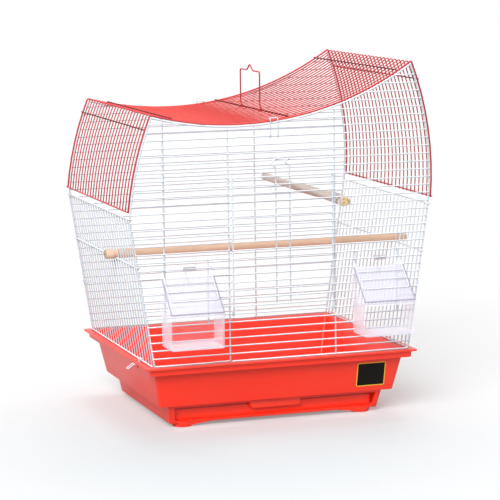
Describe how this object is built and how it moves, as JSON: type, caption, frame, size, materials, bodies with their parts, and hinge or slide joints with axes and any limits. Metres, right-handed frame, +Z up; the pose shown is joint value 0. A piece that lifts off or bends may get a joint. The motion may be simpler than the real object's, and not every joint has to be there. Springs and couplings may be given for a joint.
{
  "type": "bird cage",
  "caption": "Small bird cage with a wave-shaped wire roof, white wire panels, drop-down door, clear feeders with sprung flaps and a tub with a pull-out tray.",
  "frame": {"origin": "on the floor under the middle of the whole cage", "axes": "+X to the viewer's right along the long perch, +Y from the door to the back, +Z up"},
  "size_m": [0.48, 0.4148, 0.5325],
  "materials": {
    "coral_plastic": "moulded, lightly glossy",
    "coral_wire": "powder coated",
    "white_wire": "powder coated",
    "clear_plastic": "clear",
    "spring_steel": "bright",
    "beech": "sanded",
    "pale_wood": "carved, dry"
  },
  "bodies": {
    "cage_body": {"base_tub": "coral_plastic", "front_panel": "white_wire", "back_panel": "white_wire", "left_side_panel": "white_wire", "right_side_panel": "white_wire", "left_roof_apron": "coral_wire", "left_roof_wave": "coral_wire", "middle_roof_wave": "coral_wire", "right_roof_wave": "coral_wire", "right_roof_shoulder": "coral_wire", "right_roof_apron": "coral_wire", "left_feeder_cup": "clear_plastic", "right_feeder_cup": "clear_plastic", "left_feeder_hood": "clear_plastic", "right_feeder_hood": "clear_plastic", "long_perch": "beech", "carved_perch": "pale_wood", "left_corner_clip": "spring_steel", "right_corner_clip": "spring_steel", "left_flap_spring": "spring_steel", "right_flap_spring": "spring_steel"},
    "tray": {"drawer_tray": "coral_plastic"},
    "door": {"front_door": "white_wire", "left_door_eye": "white_wire", "right_door_eye": "white_wire"},
    "left_flap": {"left_feeder_flap": "white_wire"},
    "right_flap": {"right_feeder_flap": "white_wire"},
    "handle": {"carry_handle": "coral_wire"},
    "front_clip": {"front_roof_clip": "white_wire"},
    "back_clip": {"back_roof_clip": "white_wire"},
    "left_latch": {"left_base_latch": "white_wire"},
    "right_latch": {"right_base_latch": "white_wire"}
  },
  "joints": [
    {"name": "tray_slide", "type": "slide", "parent": "cage_body", "child": "tray", "axis": [0, -1, 0], "range_m": [0, 0.24]},
    {"name": "door_hinge", "type": "hinge", "parent": "cage_body", "child": "door", "pos_m": [0, -0.153, 0.1728], "axis": [1, 0, 0], "range_deg": [0, 120]},
    {"name": "left_flap_hinge", "type": "hinge", "parent": "cage_body", "child": "left_flap", "pos_m": [-0.148, -0.153, 0.2433], "axis": [-1, 0, 0], "range_deg": [0, 100], "stiffness_Nm_per_rad": 0.01, "springref_deg": -85.94, "deforming": ["left_flap_spring"]},
    {"name": "right_flap_hinge", "type": "hinge", "parent": "cage_body", "child": "right_flap", "pos_m": [0.148, -0.153, 0.2433], "axis": [-1, 0, 0], "range_deg": [0, 100], "stiffness_Nm_per_rad": 0.01, "springref_deg": -85.94, "deforming": ["right_flap_spring"]},
    {"name": "handle_fold", "type": "hinge", "parent": "cage_body", "child": "handle", "pos_m": [0.012, 0.024, 0.45886], "axis": [0, 1, 0], "range_deg": [-85, 60]},
    {"name": "front_clip_swing", "type": "hinge", "parent": "cage_body", "child": "front_clip", "pos_m": [-0.012, -0.153, 0.4313], "axis": [1, 0, 0], "range_deg": [0, 140]},
    {"name": "back_clip_swing", "type": "hinge", "parent": "cage_body", "child": "back_clip", "pos_m": [-0.012, 0.201, 0.4313], "axis": [-1, 0, 0], "range_deg": [0, 140]},
    {"name": "left_latch_swing", "type": "hinge", "parent": "cage_body", "child": "left_latch", "pos_m": [-0.20045, -0.08662, 0.102], "axis": [0, -1, 0], "range_deg": [0, 50]},
    {"name": "right_latch_swing", "type": "hinge", "parent": "cage_body", "child": "right_latch", "pos_m": [0.20045, -0.08662, 0.102], "axis": [0, 1, 0], "range_deg": [0, 50]}
  ]
}
